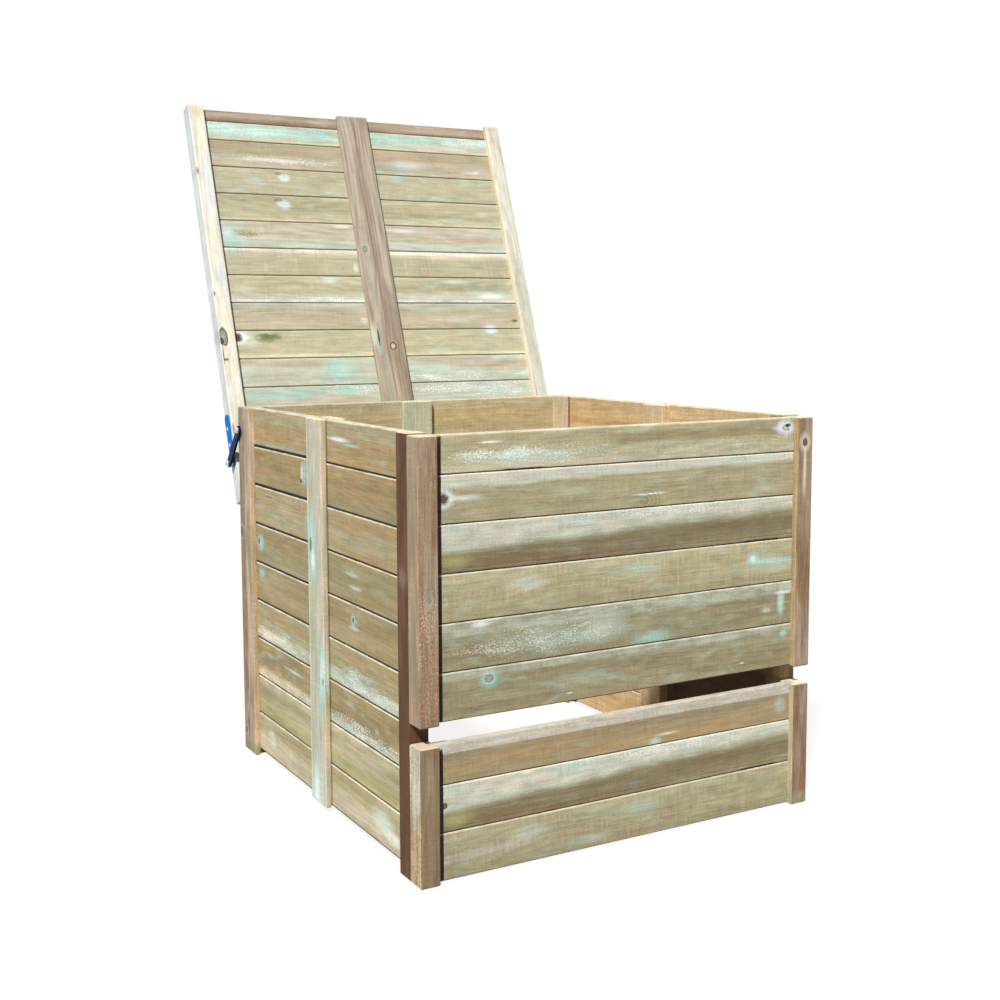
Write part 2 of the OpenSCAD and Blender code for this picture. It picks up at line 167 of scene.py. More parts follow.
# Sizes of the wood's own detail in millimetres, and how strong each is. A board's "detail" may change them.
grainLook = {
    "driftLength": 420, "driftWidth": 30, "driftAmount": 0.18,
    "streakLength": 120, "streakWidth": 3.4, "streakAmount": 0.24,
    "fibreLength": 55, "fibreWidth": 1.8, "fibreAmount": 0.28,
    "figureLength": 480, "figureWidth": 64, "figureRings": 64, "figureLean": 0.12, "figureAmount": 0.05,
    "sawPitch": 6.2, "sawHeight": 60, "sawAmount": 0.24,
    "gritLength": 4.2, "gritWidth": 2.8, "gritAmount": 0.26,
    "cloudLength": 46, "cloudWidth": 20, "cloudAmount": 0.42, "cloudStretch": 1.7, "cloudSpread": 1.3,
    "speckLength": 4.2, "speckWidth": 3.0, "blotchAmount": 0.24, "contrast": 2,
    "wanderLength": 150, "wanderWidth": 60, "wanderAmount": 2.0,
    "roughness": 0.74, "roughnessSwing": 0.16, "gloss": 0.28,
    "bump": 0.4, "bumpDistance": 0.0009,
}
# Each noise's own place in the pattern, its octaves and how rough they are.
noiseKinds = {
    "drift": (1, 2.0, 0.5), "streak": (2, 3.0, 0.6), "fibre": (3, 2.0, 0.6), "saw": (4, 2.0, 0.5),
    "wander": (5, 3.0, 0.55), "speck": (6, 2.0, 0.7), "blotch": (7, 4.0, 0.62), "cloud": (8, 4.0, 0.6),
    "grit": (9, 1.0, 0.6), "figure": (10, 1.0, 0.4),
}
# Where each effect starts and is full, as a value of its noise or a reach from a spot, 1 at the spot's edge.
onsets = {
    "drift": (0.34, 0.66), "pale": (0.56, 0.76), "dark": (0.44, 0.26), "warm": (0.50, 0.72),
    "cool": (0.50, 0.28), "sawMarks": (0.40, 0.62), "stripeBreak": (0.38, 0.58), "lineBreak": (0.40, 0.56),
    "fleck": (0.42, 0.60), "fleckRim": (1.6, 1.0), "faceFleck": (0.72, 0.90), "strayFleck": (0.58, 0.70),
    "strayCloud": (0.50, 0.62), "stain": (1.3, 0.25), "bend": (4.0, 0.8), "halo": (2.8, 1.0),
    "ring": (1.5, 1.1), "core": (1.1, 0.7), "arc": (0.1, 0.9), "arcRim": (3.6, 2.6),
    "visibleFace": (4, 2), "innerFace": (3, 1),   # millimetres from the face
}
# How far apart the places of two boards, of two noises and of the two ways across lie in the pattern.
patternSteps = {"board": 7.31, "noise": 3.7, "across": 0.6}
# Shares and turns of the effects that a look doesn't name itself.
knotBuild = {
    "bend": 0.75, "edgeGrit": 0.5, "sideDepth": 12, "tailStreaks": 0.6, "tailHigh": 1.2,
    "tailReach": (0.05, 0.75, 0.3), "tailAmount": 0.8, "arcTurns": 9, "arcWobble": 2, "arcsFrom": 0.4,
    "arcsFull": 0.6, "ringTurns": 8, "ringDepth": 0.2, "ringGrit": 0.9, "level": 0.95,
}
stainBuild = {"streaks": 0.5, "fleckClouds": 0.7, "fleckThinning": 0.10, "faceClouds": 0.6}
endBuild = {
    "skin": 1.5, "beyond": 6, "ringTurns": 1.9, "wobble": 1.2, "ringDepth": 0.10, "grit": 0.3, "soft": 0.3,
    "amount": 0.85,
}
# litHeight and litBroken: the height and the broken share of the painted highlight on each board's lit top
# edge
jointBuild = {"beyond": 4, "soft": 0.8, "litHeight": 3.1, "litBroken": 0.5}
reliefShares = {"fibre": 0.5, "streak": 0.35, "sawMarks": 0.4, "grit": 0.2}


class Plank:
    # Local places on one board or post in millimetres: u along the grain, v across it, w square to both.

    def __init__(self, name, origin, along, across, seed):
        self.material, self.shader, place = newMaterial(name)
        along, across = Vector(along), Vector(across)
        local = place.shift(tuple(-c for c in origin))
        ways = along, across, along.cross(across)
        self.u, self.v, self.w = (local.along(tuple(way / millimetre)) for way in ways)
        self.seed = seed

    def noise(self, kind, length, width, v=None):
        offset, octaves, rough = noiseKinds[kind]
        start = self.seed * patternSteps["board"] + offset * patternSteps["noise"]
        along = self.u * (1 / length) + start
        across = (v or self.v) * (1 / width) + start * patternSteps["across"]
        place = self.u.node("ShaderNodeCombineXYZ", {}, {0: along, 1: across, 2: self.w * (1 / width)})
        return place.node("ShaderNodeTexNoise", {}, {
            "Vector": place, "Scale": 1.0, "Detail": octaves, "Roughness": rough})

    # how far a place is from a spot, 1 at its edge; a spot on the side face is placed by its depth
    def reach(self, spot):
        du = (self.u - spot["u"]) * (1 / spot["long"])
        dv = ((self.w if "side" in spot else self.v) - spot["v"]) * (1 / spot["high"])
        far = du * du + dv * dv
        if "side" in spot:
            dw = self.v * (1 / knotBuild["sideDepth"])
            far = far + dw * dw
        return far.root()

    # where a stripe, a face or a line lies, with its ends along the grain if it has them
    def zoneMask(self, zone, level):
        mask = level.band(zone["low"], zone["high"], zone["soft"]) * zone["amount"]
        return mask * self.u.band(zone["fromU"], zone["toU"], zone["fade"]) if "fromU" in zone else mask


# Leaves a share of a mask everywhere and breaks up the rest.
def broken(mask, breaks, share):
    return mask * (breaks * share + (1 - share))


def paintKnot(base, plank, knot, reach, blotch, grit, streak):
    build, long, high = knotBuild, knot["long"], knot["high"]
    edge = reach + blotch.swing(knot["ragged"]) + grit.swing(build["edgeGrit"])
    if "halo" in knot:
        if "flare" in knot:   # the halo's tail along the grain, to the right for 1 and to the left for -1
            along = (plank.u - knot["u"]) * (knot["flare"] / (long * knot["flareLength"]))
            across = (plank.v - knot["v"]).size() + streak * high * build["tailStreaks"]
            tail = across.ease(high * build["tailHigh"], 0) * along.band(*build["tailReach"])
            base = base.paint(tail * build["tailAmount"], knot["halo"])
        base = base.paint(edge.onset("halo") * knot["haloAmount"], knot["halo"])
    base = base.paint(edge.onset("ring") * knot["ringAmount"], knot["ring"])
    if "arcs" in knot:   # growth lines that stand out on one side of the knot
        lines = (reach * build["arcTurns"] + blotch * build["arcWobble"]).wave().onset("arc")
        beside = plank.u.ease(knot["u"] - long * build["arcsFrom"], knot["u"] + long * build["arcsFull"])
        base = base.paint(lines * reach.onset("arcRim") * beside * knot["arcs"], "brown")
    rings = (edge * build["ringTurns"]).wave() * build["ringDepth"] + grit.swing(build["ringGrit"])
    core = base.paint(1.0, knot["core"]).shade(rings + build["level"])
    return base.paint(edge.onset("core") * knot["coreAmount"], core)


# What a board has where its own look says nothing else.
plainLook = dict(
    light=1.0, specks=0.12, pale="sand", paleStreaks=0.22, dark="khaki", darkStreaks=0.3, warm="pink",
    cool="mint", detail={}, bands=[], patches=[], knots=[], faces=[], lines=[], ends=[])


def finishWood(plank, look):
    look = dict(plainLook, **look)
    detail = dict(grainLook, **look["detail"])
    reaches = [plank.reach(knot) for knot in look["knots"]]
    bent = plank.v   # v as the grain sees it, bent round the knots
    for knot, reach in zip(look["knots"], reaches):
        if "side" not in knot:
            bent = bent - (plank.v - knot["v"]) * (reach.onset("bend") * knotBuild["bend"])
    drift, streak, fibre, figure = (plank.noise(kind, detail[kind + "Length"], detail[kind + "Width"], bent)
                                    for kind in ("drift", "streak", "fibre", "figure"))
    wander, speck, grit = (plank.noise(kind, detail[kind + "Length"], detail[kind + "Width"])
                           for kind in ("wander", "speck", "grit"))
    saw = plank.noise("saw", detail["sawPitch"], detail["sawHeight"])
    long, wide = detail["cloudLength"], detail["cloudWidth"]
    blotch = plank.noise("blotch", long, wide)
    cloud = plank.noise("cloud", long * detail["cloudStretch"], wide * detail["cloudSpread"])
    rings = (figure * detail["figureRings"] + bent * detail["figureLean"]).wave()
    sawMarks = saw.swing(1) * cloud.onset("sawMarks")   # saw marks show only here and there
    wobble = wander.swing(detail["wanderAmount"])

    first, second = look["tones"]
    base = drift.blend(drift.onset("drift"), colour(first), colour(second))
    for kind in ("pale", "dark"):
        base = base.paint(streak.onset(kind) * look[kind + "Streaks"], look[kind])
    for kind in ("warm", "cool"):
        base = base.paint(cloud.onset(kind) * detail["cloudAmount"], look[kind])

    for band in look["bands"]:
        mask = plank.zoneMask(band, plank.v + wobble * band["wave"] - plank.u * band["rise"])
        if "broken" in band:
            mask = broken(mask, blotch.onset("stripeBreak"), band["broken"])
        base = base.paint(mask, band["colour"])
    for patch in look["patches"]:
        ragged = patch["ragged"]
        reach = plank.reach(patch) + blotch.swing(ragged) + streak.swing(ragged * stainBuild["streaks"])
        if "specks" in patch:   # the flecks thin out towards the edge of the patch
            mask = speck + cloud.swing(stainBuild["fleckClouds"]) - reach * stainBuild["fleckThinning"]
            mask = mask.onset("fleck") * reach.onset("fleckRim")
        else:
            mask = reach.onset("stain")
        base = base.paint(mask * patch["amount"], patch["colour"])
    stray = speck.onset("strayFleck") * blotch.onset("strayCloud")   # all over, in cloudy groups
    base = base.paint(stray * look["specks"], "white")
    for knot, reach in zip(look["knots"], reaches):
        base = paintKnot(base, plank, knot, reach, blotch, grit, streak)

    tone = sawMarks * detail["sawAmount"]
    for name, noise in dict(fibre=fibre, streak=streak, drift=drift, grit=grit, blotch=blotch).items():
        tone = tone + noise.swing(detail[name + "Amount"])
    tone = (tone * detail["contrast"] + rings * detail["figureAmount"] + 1) * look["light"]
    base = base.shade(tone)

    for face in look["faces"]:   # another face of the same piece, told by where it lies
        mask = plank.zoneMask(face, getattr(plank, face["by"]))
        if "specks" in face:
            breaks = (speck + blotch * stainBuild["faceClouds"]).onset("faceFleck")
            mask = broken(mask, breaks, face["specks"])
        base = base.paint(mask, base.paint(1.0, face["colour"]).shade(tone))
    for line in look["lines"]:   # painted shade in a corner, dirt and painted shade in a joint, or a painted highlight on a lit edge
        mask = plank.zoneMask(line, getattr(plank, line["by"]))
        if line["by"] == "u":   # painted corner shade stays on the visible face
            mask = mask * plank.w.size().onset("visibleFace")
        if "broken" in line:
            mask = broken(mask, blotch.onset("lineBreak"), line["broken"])
        base = base.paint(mask, line["colour"])
    for end in look["ends"]:   # sawn ends: growth rings round a pith outside the piece
        dv, dw = plank.v - end["pithV"], plank.w - end["pithW"]
        ring = (dv * dv + dw * dw).root() * endBuild["ringTurns"] + wobble * endBuild["wobble"]
        ring = ring.wave() * endBuild["ringDepth"] + grit.swing(endBuild["grit"]) + 1
        sawn = base.paint(1.0, end["colour"]).shade(ring)
        cap = plank.u.band(end["top"] - endBuild["skin"], end["top"] + endBuild["beyond"], endBuild["soft"])
        base = base.paint(cap * endBuild["amount"], sawn)

    connect(plank.shader, "Base Color", base)
    connect(plank.shader, "Roughness", blotch.swing(detail["roughnessSwing"]) + detail["roughness"])
    height = fibre * reliefShares["fibre"] + streak * reliefShares["streak"]
    height = height + sawMarks * reliefShares["sawMarks"] + grit * reliefShares["grit"]
    normal = height.node("ShaderNodeBump", {}, {
        "Strength": detail["bump"], "Distance": detail["bumpDistance"], "Height": height})
    connect(plank.shader, "Normal", normal)
    plank.shader.inputs["Specular IOR Level"].default_value = detail["gloss"]
    return plank.material


# Dresses one piece. Its origin is its lower left corner.
def dressBoard(nodeName, origin, along, across, seed, look):
    plank = Plank(nodeName.replace("_", " ") + " wood", origin, along, across, seed)
    dress(nodeName, finishWood(plank, look))


# The words of the boards' tables, in millimetres. First a look, by the two tones that drift along the board.
def wood(first, second, **more):
    return dict(tones=(first, second), **more)


# a stain round u and v, with half its length and half its height, and how ragged its edge is
def stain(u, v, long, high, colour, amount, ragged=1.6, **more):
    return dict(u=u, v=v, long=long, high=high, colour=colour, amount=amount, ragged=ragged, **more)


# a stain as many small flecks
def flecks(*place):
    return stain(*place, specks=True)


# a face or a line of the piece, from low to high by u, v or w; with fromU it ends along the grain
def zone(by, low, high, colour, amount, soft=0.4, fade=30, toU=900, **more):
    place = dict(by=by, low=low, high=high, soft=soft, fade=fade, toU=toU)
    return dict(place, colour=colour, amount=amount, **more)


# the side face of a piece, which lies at 0 across it
def sideFace(colour, amount, wide=0.7, **more):
    return zone("v", -1, wide, colour, amount, **more)


# a stripe along the grain: rise tilts it, wave bends it, and broken is the share of it that breaks up
def stripe(low, high, colour, amount, wave=6, rise=0, soft=5, fade=40, **more):
    return zone("v", low, high, colour, amount, soft, fade, wave=wave, rise=rise, **more)


# a knot, with a halo where it names one, and with the halo's tail where it has a flare
def knotAt(u, v, long, high, **more):
    plain = dict(core="knot", coreAmount=0.85, ring="blush", ringAmount=0.4, haloAmount=0.8, ragged=0.9)
    return dict(dict(plain, flareLength=5, u=u, v=v, long=long, high=high), **more)


# the sawn end at the top of a piece, with the pith of the tree at pithV and pithW
def sawnEnd(top, colour, pithV, pithW):
    return dict(top=top, colour=colour, pithV=pithV, pithW=pithW)


# the finer, stronger grain of posts and battens
def fineGrain(figure):
    sizes = dict(fibreLength=60, fibreWidth=1.5, driftLength=180, cloudLength=70)
    return dict(sizes, fibreAmount=0.42, figureAmount=figure)


# Dirt and painted shade in a board's lower joint, and a painted highlight on the lit edge under the joint
# above.
def jointLines(height, cream=0.45, dark="dirtAndShade", wide=1.9, amount=0.9):
    beyond, soft = jointBuild["beyond"], jointBuild["soft"]
    return [zone("v", -beyond, wide, dark, amount, soft),
            zone("v", height - jointBuild["litHeight"], height + beyond, "ivory", cream, soft,
                 broken=jointBuild["litBroken"])]


def boxPoint(x, y, z):
    return (boxLeft + x * millimetre, boxFront + y * millimetre, z * millimetre)


# Front panel: u from the board's left end, v up from its lower joint.
frontPanel = {"boardHeight": 88, "frontLowest": 293, "end": 28.5, "face": 13, "hatchLowest": 2}
paintedBattenShadow = [zone("u", 6, 24, "black", 0.95, soft=0.7)]   # painted shadow of the left batten on the boards beside it
frontBoards = {
    6: wood("tan", "olive", light=1.13, pale="blush", specks=0.2, topHeight=70,
      bands=[stripe(2, 24, "frost", 0.22, fromU=420, broken=0.5),
        stripe(38, 58, "khaki", 0.6, fromU=380, wave=8), stripe(-4, 14, "blush", 0.4, fromU=0, toU=420),
        stripe(-4, 3.6, "dirtAndShade", 0.9, fromU=150, toU=232, fade=6, wave=0, soft=0.8)],
      patches=[stain(122, 53, 26, 2.4, "white", 0.95, 0.6), stain(190, 24, 150, 17, "frost", 0.4),
        flecks(190, 27, 140, 17, "white", 0.72), flecks(240, 24, 140, 12, "aqua", 0.45),
        flecks(640, 26, 160, 12, "frost", 0.4)],
      knots=[knotAt(804, 50, 11, 8, halo="ice", haloAmount=0.85, ragged=2.6, flare=-1, flareLength=4,
        core="sage", ring="ice", ringAmount=0.7),
        knotAt(810, 54, 8, 4, core="umber", ragged=2.0, ringAmount=0.1, coreAmount=0.95)]),
    5: wood("tan", "olive", light=1.02, dark="brown", darkStreaks=0.2,
      bands=[stripe(62, 100, "frost", 0.9, rise=0.014),
        stripe(66, 92, "blush", 0.75, rise=0.012, broken=0.7),
        stripe(22, 25, "khaki", 0.4, wave=10, soft=2, fromU=-20, toU=500)],
      patches=[stain(470, 26, 40, 1.8, "white", 0.95, 0.2), stain(455, 24, 12, 3.5, "aqua", 0.7, 0.5),
        stain(700, 78, 80, 12, "frost", 0.5)],
      knots=[knotAt(28, 45, 10, 9, halo="ice", flare=1, flareLength=9, haloAmount=0.95, ring="brown",
        ringAmount=0.6, core="umber", ragged=1.4),
        knotAt(456, 14, 13, 9, core="khaki", coreAmount=0.3, ringAmount=0, arcs=0.5)]),
    4: wood("olive", "khaki", pale="blush", dark="brown", darkStreaks=0.5,
      bands=[stripe(-4, 36, "oliveDeep", 0.5, rise=0.02, wave=12, soft=11),
        stripe(38, 100, "frost", 0.84, rise=0.034, wave=10, soft=11, broken=0.2),
        stripe(46, 84, "blush", 0.6, rise=0.03, wave=10, broken=0.5),
        stripe(8, 11, "rust", 0.55, wave=3, soft=1.5), stripe(3, 5, "rust", 0.5, wave=2, soft=1.2),
        stripe(78, 100, "frost", 0.6, fromU=480, broken=0.5),
        stripe(-4, 4, "dirtAndShade", 0.9, fromU=700, toU=790, fade=6, wave=0, soft=0.8)],
      patches=[stain(46, 22, 40, 14, "lichen", 0.5), flecks(50, 70, 36, 14, "aqua", 0.6),
        flecks(150, 62, 110, 16, "blush", 0.8), flecks(300, 76, 130, 12, "aqua", 0.5),
        flecks(560, 78, 160, 10, "white", 0.5)]),
    3: wood("tan", "olive", light=1.1, paleStreaks=0.3, detail=dict(sawAmount=0.45),
      bands=[stripe(72, 100, "sand", 0.3), stripe(-4, 20, "khaki", 0.3, wave=9)],
      patches=[stain(198, 57, 50, 16, "frost", 0.55), stain(450, 60, 60, 18, "mint", 0.5),
        stain(724, 53, 18, 13, "aqua", 0.85, 1.2), stain(724, 54, 7, 5, "white", 0.7, 0.9),
        stain(775, 45, 60, 6, "aqua", 0.8, 0.8), stain(770, 41, 80, 18, "mint", 0.5)]),
    2: wood("olive", "khaki", light=0.95, pale="frost", specks=0.3,
      bands=[stripe(62, 100, "frost", 0.55, broken=0.5), stripe(0, 20, "olive", 0.4)],
      patches=[stain(100, 80, 20, 6, "white", 0.8, 1.0), stain(240, 40, 150, 24, "mint", 0.4),
        flecks(230, 40, 150, 22, "ivory", 0.7), flecks(280, 34, 140, 20, "aqua", 0.4),
        stain(365, 45, 60, 26, "frost", 0.6), stain(480, 12, 50, 14, "aqua", 0.6),
        stain(799, 48, 11, 32, "frost", 0.9, 0.9), stain(797, 44, 5, 18, "aqua", 0.7, 0.8),
        stain(804, 66, 22, 4, "white", 0.8, 0.8), stain(761, 34, 14, 7, "frost", 0.7)],
      knots=[knotAt(122, 36, 4, 3, core="ochre", ring="brown", coreAmount=0.7)]),
    1: wood("olive", "khaki", light=0.98,
      bands=[stripe(72, 100, "frost", 0.45, broken=0.4), stripe(0, 12, "tan", 0.3)],
      patches=[stain(807, 69, 10, 7, "aqua", 0.9, 0.9), stain(119, 65, 22, 17, "aqua", 0.6),
        stain(330, 40, 90, 16, "mint", 0.35), stain(290, 16, 8, 2, "ivory", 0.9, 0.5),
        stain(700, 20, 6, 2, "ivory", 0.9, 0.5)],
      knots=[knotAt(118, 67, 7, 6, halo="aqua", core="sage", ring="brown", ringAmount=0.8)]),
}
hatchBoards = {
    3: wood("tan", "camel", light=0.84, pale="frost", dark="brown", specks=0.1, topHeight=76, seed=23,
      bands=[stripe(42, 56, "khaki", 0.35), stripe(2, 50, "camel", 0.5, wave=10, broken=0.3)],
      faces=[zone("v", 56.5, 90, "lavender", 0.9, soft=0.8, specks=0.35)],
      patches=[stain(487, 8, 16, 9, "frost", 0.95, 0.9), stain(490, 9, 8, 4, "aqua", 0.9, 0.7),
        stain(516, 19, 30, 3, "ivory", 0.8, 0.7), stain(800, 36, 16, 18, "frost", 0.6)]),
    2: dict(frontBoards[4], light=1.04, seed=4.01,
      patches=frontBoards[4]["patches"] + [stain(199, 83, 14, 4, "cream", 0.9)],
      knots=[knotAt(26, 50, 7, 6, halo="blush")]),
    1: dict(frontBoards[3], light=0.98, seed=3.01, patches=frontBoards[3]["patches"][:2] + [
      stain(130, 40, 110, 10, "lavender", 0.5), stain(330, 18, 60, 10, "mint", 0.5)]),
}


def dressFront():
    pitch = frontPanel["boardHeight"]
    for group, looks in ("front", frontBoards), ("hatch", hatchBoards):
        for row, look in looks.items():
            look = dict(look, lines=paintedBattenShadow + jointLines(look.get("topHeight", pitch)))
            low = frontPanel[group + "Lowest"] + (row - 1) * pitch
            origin, seed = boxPoint(frontPanel["end"], frontPanel["face"], low), look.get("seed", row)
            dressBoard("%s_board_%d" % (group, row), origin, (1, 0, 0), (0, 0, 1), seed, look)
    print("front panel and hatch dressed")


# Side panel: u from the board's front end towards the rear, v up from its lower joint.
sidePanel = {
    "lowest": 14, "boardHeight": 88, "rows": 9, "end": 74.5, "face": 13, "seed": 40,
    "look": dict(warm="camel", cool="sage", pale="sand", dark="brown"),
    "detail": dict(cloudAmount=0.6, cloudLength=60, streakAmount=0.3),
    "openJoint": dict(colour="black", amount=0.97, fromU=430, fade=4, wave=0, soft=0.7),
    "openings": {4: 4.6, 5: 4.8, 6: 5.0, 7: 5.2, 8: 6.4, 9: 6.0},   # by row, behind the middle batten
}
sideBoards = {
    9: wood("camel", "bark",
      bands=[stripe(58, 100, "sage", 0.35, broken=0.5), stripe(-4, 16, "sage", 0.7, fromU=440, broken=0.4)],
      patches=[stain(300, 52, 60, 5, "white", 0.9, 0.9), stain(235, 44, 40, 3.4, "frost", 0.8, 0.9)]),
    8: wood("bark", "camel", light=0.89, dark="khaki", cool="lichen",
      bands=[stripe(-4, 30, "olive", 0.4, wave=8)],
      patches=[stain(478, 54, 16, 34, "aqua", 0.8, 1.4), stain(494, 56, 8, 20, "white", 0.8),
        stain(735, 61, 20, 8, "sage", 0.5)],
      knots=[knotAt(500, 38, 6, 5, core="umber")]),
    7: wood("camel", "tan", light=0.95, dark="khaki",
      patches=[stain(600, 52, 60, 12, "sand", 0.5), stain(460, 50, 20, 30, "mint", 0.6),
        stain(700, 70, 24, 2, "umber", 0.6, 0.8)]),
    6: wood("bark", "olive", light=0.96, pale="frost", cool="olive",
      patches=[stain(755, 50, 24, 20, "aqua", 0.8), stain(240, 60, 9, 9, "aqua", 0.85, 1.0),
        stain(240, 58, 40, 4, "frost", 0.8, 1.0), stain(226, 34, 34, 5, "frost", 0.8, 1.0)],
      knots=[knotAt(765, 50, 6, 8), knotAt(240, 61, 3, 3, core="brown")]),
    5: wood("bark", "tan", light=0.92, cool="olive",
      bands=[stripe(10, 50, "camel", 0.3, wave=14)],
      patches=[stain(750, 66, 20, 14, "aqua", 0.8), stain(234, 42, 26, 5, "frost", 0.8, 1.0)],
      knots=[knotAt(238, 57, 5, 6, halo="aqua", flare=-1)]),
    4: wood("tan", "bark", pale="frost", specks=0.4,
      bands=[stripe(-4, 30, "frost", 0.65, wave=10, broken=0.6), stripe(60, 84, "camel", 0.3, wave=8)],
      patches=[flecks(210, 18, 190, 22, "white", 0.95), flecks(230, 22, 170, 20, "aqua", 0.6),
        flecks(640, 24, 190, 20, "ivory", 0.95), stain(600, 40, 30, 4, "frost", 0.7)]),
    3: wood("bark", "khaki", light=1.1, darkStreaks=0.6, specks=0.3,
      bands=[stripe(-4, 20, "frost", 0.5, wave=9, broken=0.6, fromU=-40, toU=400),
        stripe(-4, 24, "ivory", 0.5, wave=9, broken=0.5, fromU=400)],
      patches=[flecks(200, 10, 170, 18, "white", 0.95), flecks(620, 12, 170, 18, "cream", 0.95),
        stain(133, 40, 10, 7, "mint", 0.5), stain(560, 56, 60, 4, "frost", 0.7)]),
    2: wood("tan", "sand", light=0.92, pale="cream", dark="bark", cool="lichen",
      bands=[stripe(2, 34, "lichen", 0.5, wave=9), stripe(70, 100, "cream", 0.3, broken=0.5)],
      patches=[stain(140, 60, 60, 12, "blush", 0.6)]),
    1: wood("tan", "sand", light=1.09, pale="frost", dark="bark",
      bands=[stripe(44, 100, "bark", 0.4, wave=10), stripe(-4, 40, "blush", 0.4, wave=10, broken=0.4)],
      patches=[stain(704, 46, 26, 20, "frost", 0.85), stain(110, 50, 50, 26, "frost", 0.9),
        stain(70, 30, 40, 14, "white", 0.7)]),
}


def dressSides():
    for row, look in sideBoards.items():
        height = sidePanel["boardHeight"]
        look = dict(sidePanel["look"], **look)
        look["detail"] = dict(sidePanel["detail"], **look.get("detail", {}))
        if row in sidePanel["openings"]:   # the rear half's joints stand further open
            joint = stripe(-4, sidePanel["openings"][row], **sidePanel["openJoint"])
            look["bands"] = look.get("bands", []) + [joint]
        look["lines"] = [zone("u", 354.5, 359, "dirtAndShade", 0.6, soft=0.8)]   # painted shade in the corner in front of the middle batten
        look["lines"] += jointLines(height, 0.6, "black", 4.2, 0.95)
        origin = boxPoint(sidePanel["face"], sidePanel["end"], sidePanel["lowest"] + (row - 1) * height)
        dressBoard("left_board_%d" % row, origin, (0, 1, 0), (0, 0, 1), sidePanel["seed"] + row, look)
    print("left panel dressed")


# The right and rear panels are one node each: every row takes its own tones and grain from its row number.
groupBuild = {
    "rowShift": 1370, "rowSwing": 0.26, "rowDarkest": 0.88, "innerDepth": 1.5, "innerAmount": 0.6,
    "pickStep": 12.9898, "pickScale": 437.58,   # they scatter the row numbers
    "look": dict(pale="sand", dark="brown", specks=0.2, detail=dict(driftAmount=0.34), bands=[
        stripe(56, 100, "frost", 0.35, wave=14, broken=0.8),
        stripe(-4, 16, "blush", 0.35, wave=10, broken=0.7)]),
}


def dressGroup(nodeName, origin, along, seed, look, inner, innerTone, paintedShadow=None):
    plank = Plank(nodeName.replace("_", " ") + " wood", origin, along, (0, 0, 1), seed)
    if paintedShadow:
        low = plank.v.ease(paintedShadow["litV"], paintedShadow["shadedV"]) * plank.u.ease(paintedShadow["litU"], paintedShadow["shadedU"])
    height, depth = sidePanel["boardHeight"], groupBuild["innerDepth"]
    row = (plank.v * (1 / height)).whole()
    row = row.sums("MINIMUM", row, sidePanel["rows"] - 1)   # a panel's top edge belongs to its top row
    plank.v = plank.v - row * height
    plank.u = plank.u + row * groupBuild["rowShift"]
    pick = (row * groupBuild["pickStep"] + seed).wave() * groupBuild["pickScale"]
    pick = pick - pick.whole()   # a number from 0 to 1 for each row
    innerFace = zone("w", inner - depth, inner + depth, innerTone, groupBuild["innerAmount"])
    look = dict(dict(groupBuild["look"], **look), lines=jointLines(height), faces=[innerFace])
    material = finishWood(plank, look)
    base = Wire(material.node_tree, plank.shader.inputs["Base Color"].links[0].from_socket)
    base = base.shade(pick * groupBuild["rowSwing"] + groupBuild["rowDarkest"])
    if paintedShadow:   # painted shadow: the inner face is painted dark low down towards the front, where the front panel's shadow falls
        base = base.paint(low * (plank.w - inner).size().onset("innerFace") * paintedShadow["amount"], paintedShadow["colour"])
    connect(plank.shader, "Base Color", base)
    dress(nodeName, material)


def dressGroups():
    # the painted shadow is full below shadedV and in front of shadedU, and gone above litV and behind litU
    paintedShadow = dict(shadedV=230, litV=270, shadedU=330, litU=390, colour="umber", amount=0.92)
    dressGroup("right_boards", boxPoint(881, 74.5, 14), (0, 1, 0), 61,
               wood("camel", "tan", light=0.97), -19, "innerOrange", paintedShadow)
    dressGroup("rear_boards", boxPoint(48.5, 917, 14), (1, 0, 0), 62,
               wood("tan", "bark", light=1.13), 19, "innerTan")
    print("right and rear panels dressed")


